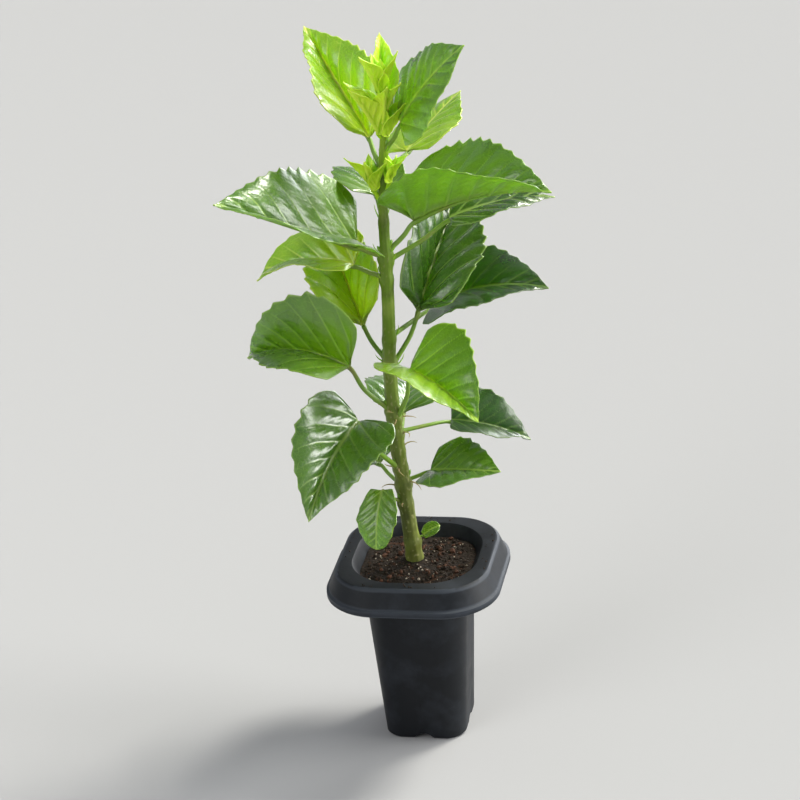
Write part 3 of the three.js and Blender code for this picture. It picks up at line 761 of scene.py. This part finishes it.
# A grid rolled into a tube, with its nodes, leaf scars, ribs, grain and specks, closed at both ends.
def makeStem():
    look = stemLooks
    piece = addPiece("stemBark", bpy.ops.mesh.primitive_grid_add, size=2,
                     x_subdivisions=look["sides"], y_subdivisions=look["rows"])
    spots = getSpots(piece)
    turn = (spots[:, 0] + 1) * pi
    share = (spots[:, 1] + 1) / 2
    height = stem["foot"] + share * stem["height"]
    middle = stemMiddle(height)
    radius = stemRadius(height)
    swell = np.zeros(len(spots))
    for leaf in leaves.values():
        above = height - leaf["z"]
        near = np.exp(-((above + 1) / stem["cushionHeight"]) ** 2)
        facing = np.maximum(0, np.cos(turn - radians(leaf["side"]))) ** 3
        scar = look["scar"] / (1 + np.exp(-(above - 0.6) / 0.25)) * np.exp(-np.abs(above) / 3)
        node = stem["nodeSwell"] + stem["cushion"] * facing
        swell += near * node * np.minimum(1, radius / 2) - scar * 0.6
    ribs = look["ribOut"] * np.sin(turn * look["ribs"] + look["ribTwist"] * height)

    def around(reach, up):
        return [Vector((cos(a) * reach, sin(a) * reach, h * up)) for a, h in zip(turn, height)]

    grain = np.array([noise.fractal(spot, 1.0, 2.0, 4) for spot in around(1.6, 0.16)])
    pimple = np.array([noise.noise(spot) for spot in around(3.2, 0.62)])
    speck = held((pimple - 0.36) / 0.12) * held(1.15 - share * 1.1)
    radius = radius + swell + ribs * (1 - 0.5 * share) + look["grainOut"] * grain
    radius += look["speckOut"] * speck
    toTip = held((1 - share) * stem["height"] / look["shoulder"])
    radius *= 1 - look["shoulderIn"] * (1 - np.sqrt(toTip))
    middle[:, 0] += np.cos(turn) * radius
    middle[:, 1] += np.sin(turn) * radius
    setSpots(piece, middle * mm)
    setValues(piece, "speck", speck)
    setValues(piece, "climb", share)
    editAll(piece)
    bpy.ops.mesh.remove_doubles(threshold=1e-6)
    bpy.ops.mesh.select_all(action="DESELECT")
    bpy.ops.mesh.select_non_manifold()
    bpy.ops.mesh.edge_face_add()
    faceOutwards(piece)
    bpy.ops.object.shade_smooth_by_angle(angle=radians(50))
    material, tree, shader = newMaterial("stemSkin", {
        "Roughness": 0.5, "Specular IOR Level": 0.35, "Subsurface Weight": 0.15, **softSkin})
    place = objectPlace(tree)
    climb = readValue(tree, "climb")
    colour = layOver(tree, look["low"], look["high"], climb, 0.05, 0.6)
    colour = layOver(tree, colour, look["stain"], noiseAt(tree, place, 160.0, 4.0, 0.6), 0.5, 0.75, 0.6)
    colour = layOver(tree, colour, look["pale"], noiseAt(tree, place, 95.0, 2.0), 0.52, 0.7, 0.45)
    colour = layOver(tree, colour, look["tip"], climb, 0.86, 1.0)
    colour = mixColours(tree, readValue(tree, "speck"), colour, look["speck"])
    dress(tree, shader, colour, noiseAt(tree, place, 1300.0), 0.3, 0.00015)
    piece.data.materials.append(material)
    finishPiece(piece, "green_stem", "stem")


makeStem()
print("stem made")

potShape = dict(
    height=80, wall=1, baseWidth=34, baseCorner=8, neckWidth=42.5, neckCorner=13, neckHeight=66,
    flareWidth=46, flareCorner=16, flareHeight=73, mouthWidth=51, mouthCorner=20, mouthHeight=78.6,
    deckWidth=63.5, deckCorner=20, rimWidth=72, rimCorner=23, rimDrop=11, bandHeight=3, bandBulge=0.8,
    drainWidth=8.6, drainHeight=2.8, drainReach=6, steps=20, bevel=0.35,
)
potLooks = dict(
    colour=(0.0055, 0.007, 0.0095), worn=(0.036, 0.043, 0.055), rough=0.48, rougher=0.2, specular=0.24,
    cornerFrom=12.4, rimWear=0.12, bandWear=0.42, edgeHighlight=1.0, dust=0.6,
)


# A ring of a square with round corners, from the middle of its right side round to the left.
def squareRing(half, height, corner, steps):
    corner = min(corner, half)
    flat = half - corner
    ring = []
    for quarter in range(4):
        turn = quarter * pi / 2
        ahead, aside = cos(turn), sin(turn)
        for step in range(steps):
            if step == 0:
                x, y = half, 0.0
            else:
                bend = (step - 1) / (steps - 2) * pi / 2
                x, y = flat + corner * cos(bend), flat + corner * sin(bend)
            ring.append((x * ahead - y * aside, x * aside + y * ahead, height))
    return np.array(ring)


# Draws a ring, then extrudes it from ring to ring, and closes the first and the last.
def ringBody(name, profile, steps):
    piece = addPiece(name, bpy.ops.mesh.primitive_circle_add, vertices=4 * steps, fill_type="NGON")
    setSpots(piece, squareRing(*profile[0], steps) * mm)
    order = piece.data.attributes.new("order", "INT", "POINT")
    order.data.foreach_set("value", np.arange(4 * steps, dtype=np.int32))
    editAll(piece)
    for ringSizes in profile[1:]:
        bpy.ops.mesh.extrude_region_move()
        shape = bmesh.from_edit_mesh(piece.data)
        layer = shape.verts.layers.int["order"]
        ring = squareRing(*ringSizes, steps) * mm
        for vert in shape.verts:
            if vert.select:
                vert.co = ring[vert[layer]]
        bmesh.update_edit_mesh(piece.data)
    faceOutwards(piece)
    piece.data.attributes.remove(piece.data.attributes["order"])
    return piece


# The inside of the cell from its floor to its mouth: half width, height and corner of each ring.
def cellShape():
    p = potShape
    wall = p["wall"]
    inner = p["baseWidth"] / 2 - wall
    return [
        (inner - 1, wall, p["baseCorner"] - wall - 1),
        (inner, wall + 1, p["baseCorner"] - wall),
        (p["neckWidth"] / 2 - wall, p["neckHeight"], p["neckCorner"] - wall),
        (p["flareWidth"] / 2 - wall, p["flareHeight"], p["flareCorner"] - wall),
        (p["mouthWidth"] / 2 - 0.3, p["mouthHeight"], p["mouthCorner"] - 0.3),
        (p["mouthWidth"] / 2 + 0.6, p["height"], p["mouthCorner"]),
    ]


# Arched notches through the foot of each side.
def cutDrains(piece):
    p = potShape
    radius = (p["drainWidth"] ** 2 / 4 + p["drainHeight"] ** 2) / 2 / p["drainHeight"]
    long = p["drainReach"] + 4
    away = p["baseWidth"] / 2 - p["drainReach"] + long / 2
    for side in range(4):
        turn = side * pi / 2
        spot = (-sin(turn) * away * mm, cos(turn) * away * mm, (p["drainHeight"] - radius) * mm)
        drain = addPiece("drain", bpy.ops.mesh.primitive_cylinder_add, vertices=48, radius=radius * mm,
                         depth=long * mm, location=spot, rotation=(pi / 2, 0, turn))
        useModifier(piece, "BOOLEAN", object=drain, operation="DIFFERENCE", solver="EXACT")
        bpy.data.objects.remove(drain)


def makePot():
    p, look = potShape, potLooks
    deck, rim = p["deckWidth"] / 2, p["rimWidth"] / 2
    deckCorner, rimCorner = p["deckCorner"], p["rimCorner"]
    mouth, mouthCorner = p["mouthWidth"] / 2, p["mouthCorner"]
    top, wall = p["height"], p["wall"]
    rimFoot = top - p["rimDrop"]
    bandTop = rimFoot + p["bandHeight"]
    band = rim - p["bandBulge"]
    slope = (band - deck - 0.4) / (top - 0.8 - bandTop)
    # Up the outside, out under the deck, down inside the rim, up its outside and in over the deck.
    profile = [
        (p["baseWidth"] / 2 - 1, 0, p["baseCorner"] - 1),
        (p["baseWidth"] / 2, 1, p["baseCorner"]),
        (p["neckWidth"] / 2, p["neckHeight"], p["neckCorner"]),
        (p["flareWidth"] / 2 + 0.2, p["flareHeight"] - 0.4, p["flareCorner"]),
        (mouth + 0.8, p["mouthHeight"] - 0.6, mouthCorner),
        (mouth + 1.4, top - wall, mouthCorner),
        (deck - wall, top - wall, deckCorner - wall),
        (band - wall, bandTop, rimCorner - wall),
        (rim - wall, bandTop - 0.8, rimCorner - wall),
        (rim - wall, rimFoot, rimCorner - wall),
        (rim - 0.3, rimFoot, rimCorner),
        (rim, rimFoot + 0.4, rimCorner),
        (rim, rimFoot + 0.9, rimCorner),
        (rim, bandTop - 0.4, rimCorner),
        (band, bandTop, rimCorner),
        (band - slope * 0.8, bandTop + 0.8, rimCorner),
        (deck + 0.4 + slope * 0.7, top - 1.5, deckCorner),
        (deck + 0.4, top - 0.8, deckCorner),
        (deck - 0.4, top, deckCorner),
        (deck - 1.3, top, deckCorner - 0.9),
        *reversed(cellShape()),
    ]
    piece = ringBody("potShell", profile, p["steps"])
    cutDrains(piece)
    useModifier(piece, "BEVEL", width=p["bevel"] * mm, segments=3, limit_method="ANGLE",
                angle_limit=radians(24))
    spots = getSpots(piece) / mm
    height = spots[:, 2]
    # Painted sheen and highlights: the rim a little lighter than the shaded wall under it, the band
    # lighter, and light lines along the deck's edge, the rim's foot and the band's top.
    corner = look["cornerFrom"]
    beyond = np.maximum(np.abs(spots[:, :2]) - corner, 0)
    out = corner + np.hypot(beyond[:, 0], beyond[:, 1])
    wear = np.where((out > deck - 0.7) & (height > rimFoot - 0.1), look["rimWear"], 0.0)
    wear = np.where((out > rim - 0.5) & (height < bandTop), look["bandWear"], wear)
    edges = ((deck, top - 0.4, 1.12), (rim - 0.1, rimFoot + 0.1, 0.62), (rim - 0.4, bandTop - 0.2, 1.0))
    for edgeOut, edgeHeight, broad in edges:
        near = np.abs(height - edgeHeight) + np.abs(out - edgeOut) < broad
        wear = np.where(near, look["edgeHighlight"], wear)
    setValues(piece, "wear", wear)
    pick(piece)
    bpy.ops.object.shade_smooth_by_angle(angle=radians(40))
    material, tree, shader = newMaterial("potPlastic", {"Specular IOR Level": look["specular"]})
    place = objectPlace(tree)
    scuff = noiseAt(tree, place, 60.0, 6.0, 0.65)
    upright = {"Vector": place, "Scale": (1, 1, 0.12)}
    streak = noiseAt(tree, addNode(tree, "ShaderNodeMapping", upright).outputs[0], 420.0)
    dusty = ramp(tree, scuff, 0.48, 0.8)
    # Dust from noise, plus the painted sheen, turns the black plastic toward a pale blue-grey.
    dust = calculate(tree, "MULTIPLY_ADD", dusty, look["dust"], readValue(tree, "wear"))
    dress(tree, shader, mixColours(tree, dust, look["colour"], look["worn"]), streak, 0.12, 0.0002)
    rough = calculate(tree, "ADD", ramp(tree, scuff, 0.35, 0.75, 0.0, look["rougher"]), look["rough"])
    tree.links.new(rough, shader.inputs["Roughness"])
    piece.data.materials.append(material)
    finishPiece(piece, "pot_plastic", "pot")


makePot()
print("pot made")

soilShape = dict(
    level=76.7, gap=0.4, edgeDrop=1.2, half=22.4, lumps=0.55, lumpScale=0.16, rings=46, steps=26)
soilLooks = dict(peat=(0.027, 0.018, 0.012), damp=(0.011, 0.008, 0.006), rust=(0.07, 0.03, 0.015))


# Height of the mix at a place in the pot, with the small rises and hollows of a watered surface.
def soilHeight(x, y):
    rule = soilShape
    across = max(abs(x), abs(y)) * 0.5 + hypot(x, y) * 0.5
    level = rule["level"] - rule["edgeDrop"] * (across / rule["half"]) ** 3
    fromStem = hypot(x - plantSpot[0], y - plantSpot[1])
    calm = min(1, max(0, (fromStem - 4) / 5))
    rough = noise.fractal(Vector((x * rule["lumpScale"], y * rule["lumpScale"], 3.1)), 1.0, 2.0, 5)
    return level + rule["lumps"] * calm * (rough * 1.2 - 0.55)


# The bed of mix fills the cell up to its shore, and closes over in rings that follow its surface.
def makeSoil():
    shore = soilShape["level"] - soilShape["edgeDrop"]
    gap = soilShape["gap"]
    cell = cellShape()
    wet = [ring for ring in cell if ring[1] < shore]
    last, following = wet[-1], cell[len(wet)]
    share = (shore - last[1]) / (following[1] - last[1])
    edge = last[0] + (following[0] - last[0]) * share
    corner = last[2] + (following[2] - last[2]) * share
    sides = [(half - gap, height + (gap if height < 3 else 0), bend - gap)
             for half, height, bend in wet]
    tops = [(edge * part, shore, corner * part) for part in np.linspace(0.98, 0.02, soilShape["rings"])]
    piece = ringBody("soilBed", [*sides, (edge - gap, shore, corner - gap), *tops], soilShape["steps"])
    spots = getSpots(piece) / mm
    for spot in spots:
        if spot[2] > shore - 0.01:
            spot[2] = soilHeight(spot[0], spot[1])
    setSpots(piece, spots * mm)
    pick(piece)
    bpy.ops.object.shade_smooth_by_angle(angle=radians(50))
    material, tree, shader = newMaterial("growingMix", {"Roughness": 0.95, "Specular IOR Level": 0.25})
    place = objectPlace(tree)
    fine = noiseAt(tree, place, 520.0, 8.0, 0.7)
    grains = addNode(tree, "ShaderNodeTexVoronoi", {"Vector": place, "Scale": 900.0})
    colour = layOver(tree, soilLooks["damp"], soilLooks["peat"], fine, 0.35, 0.65)
    colour = layOver(tree, colour, soilLooks["rust"], noiseAt(tree, place, 300.0, 4.0), 0.56, 0.66, 0.7)
    relief = calculate(tree, "ADD", grains.outputs["Distance"], fine)
    dress(tree, shader, colour, relief, 0.9, 0.0006)
    piece.data.materials.append(material)
    finishPiece(piece, "growing_mix", "soil")


crumbKinds = {
    "peatCrumbs": dict(count=620, small=0.35, large=1.25, colour=(0.03, 0.019, 0.012), seed=11),
    "barkFlakes": dict(count=120, small=0.45, large=1.9, colour=(0.085, 0.036, 0.019), seed=12),
    "deckCrumbs": dict(
        count=46, small=0.2, large=0.62, colour=(0.045, 0.03, 0.02), seed=14, onDeck=True),
    "paleGrit": dict(count=85, small=0.25, large=0.85, colour=(0.42, 0.36, 0.28), seed=13),
}
strewn = dict(
    cellHalf=21.6, cellRound=25, stemRoom=4.4, deckFrom=27.4, deckTo=30.4, deckRound=34,
    squash=(0.4, 0.9), jitter=(0.75, 1.25),
)


# Small angular lumps strewn over the mix, each kind joined into one piece.
def makeCrumbs(name, kind):
    rule = strewn
    draw = np.random.RandomState(kind["seed"])
    shape = addPiece(name, bpy.ops.mesh.primitive_ico_sphere_add, subdivisions=1, radius=1)
    ball = getSpots(shape)
    faces = np.array([face.vertices[:] for face in shape.data.polygons])
    spots, corners = [], []
    onDeck = kind.get("onDeck", False)
    while len(spots) < kind["count"]:
        x, y = draw.uniform(-30, 30, 2)
        size = kind["small"] + (kind["large"] - kind["small"]) * draw.rand() ** 2.2  # mostly small
        turn = draw.uniform(0, 6.28)
        squash = draw.uniform(*rule["squash"], 3)
        jitter = draw.uniform(*rule["jitter"], (len(ball), 1))
        across, away = max(abs(x), abs(y)), hypot(x, y)
        if onDeck:
            fits = rule["deckFrom"] + size < across < rule["deckTo"] and away < rule["deckRound"]
        else:
            atStem = hypot(x - plantSpot[0], y - plantSpot[1]) < rule["stemRoom"] + size
            fits = across < rule["cellHalf"] - size and away < rule["cellRound"] - size and not atStem
        if not fits:
            continue
        ahead, aside = cos(turn), sin(turn)
        rotation = np.array([[ahead, aside, 0], [-aside, ahead, 0], [0, 0, 1]])
        bed = potShape["height"] if onDeck else soilHeight(x, y)
        lift = bed + size * squash[2] * (0.6 if onDeck else 0.25)
        corners.append(faces + len(spots) * len(ball))
        spots.append((ball * jitter * squash * size) @ rotation + [x, y, lift])
    mesh = bpy.data.meshes.new(name)
    mesh.from_pydata(np.concatenate(spots) * mm, [], np.concatenate(corners).tolist())
    shape.data = mesh
    material, tree, shader = newMaterial(name + "Skin", {"Roughness": 0.9, "Specular IOR Level": 0.3})
    place = objectPlace(tree)
    dark = [0.4 * c for c in kind["colour"]]
    colour = layOver(tree, kind["colour"], dark, noiseAt(tree, place, 240.0), 0.3, 0.7, 0.7)
    dress(tree, shader, colour, noiseAt(tree, place, 2200.0), 0.5, 0.0002)
    shape.data.materials.append(material)
    finishPiece(shape, "growing_mix")


makeSoil()
for name, kind in crumbKinds.items():
    makeCrumbs(name, kind)
print("growing mix made")

# The studio is in metres.
studio = dict(
    eye=(0.2116, -0.9464, 0.604), aim=(-0.002, 0.0, 0.1495), lens=120, roll=-4.8,
    floorColour=(0.4, 0.403, 0.41), sky=(0.93, 0.96, 1.0), skyStrength=0.38,
    lampAim=(0, 0, 0.17),
)
lamps = {
    "keyLamp": dict(kind="SUN", spot=(0.5, 0.45, 0.95), soft=16, power=3.4, colour=(1.0, 0.97, 0.88)),
    "rightLamp": dict(kind="SUN", spot=(2.5, 0.45, 0.92), soft=40, power=4.0, colour=(1.0, 0.99, 0.96)),
    "backLamp": dict(kind="SUN", spot=(0.95, 2.6, 0.6), soft=34, power=1.9, colour=(0.97, 0.98, 1.0)),
    "frontLamp": dict(kind="AREA", spot=(-1.6, -2.0, 1.6), soft=1.6, power=27, colour=(1.0, 0.99, 0.97)),
}


def aimAt(thing, spot, target, roll=0.0):
    thing.location = spot
    turn = (Vector(target) - Vector(spot)).to_track_quat("-Z", "Y")
    thing.rotation_euler = (turn @ Quaternion((0, 0, 1), radians(roll))).to_euler()


def makeStudio():
    floor = addPiece("paleFloor", bpy.ops.mesh.primitive_plane_add, size=60)
    floorPaint, *_ = newMaterial("floorPaint", {
        "Roughness": 0.9, "Specular IOR Level": 0.0, "Base Color": (*studio["floorColour"], 1)})
    floor.data.materials.append(floorPaint)
    world = bpy.data.worlds.new("studioSky")
    bpy.context.scene.world = world
    world.use_nodes = True
    sky = world.node_tree.nodes["Background"]
    sky.inputs["Color"].default_value = (*studio["sky"], 1)
    sky.inputs["Strength"].default_value = studio["skyStrength"]
    for name, lamp in lamps.items():
        light = addPiece(name, bpy.ops.object.light_add, type=lamp["kind"])
        if lamp["kind"] == "SUN":
            light.data.angle = radians(lamp["soft"])
        else:
            light.data.size = lamp["soft"]
        light.data.energy = lamp["power"]
        light.data.color = lamp["colour"]
        aimAt(light, lamp["spot"], studio["lampAim"])
    camera = addPiece("Camera", bpy.ops.object.camera_add)
    camera.data.lens = studio["lens"]
    camera.data.sensor_width = 36
    camera.data.clip_start, camera.data.clip_end = 0.01, 50
    aimAt(camera, studio["eye"], studio["aim"], studio["roll"])
    bpy.context.scene.camera = camera
    bpy.context.scene.view_settings.view_transform = "Standard"


makeStudio()
print("studio made")
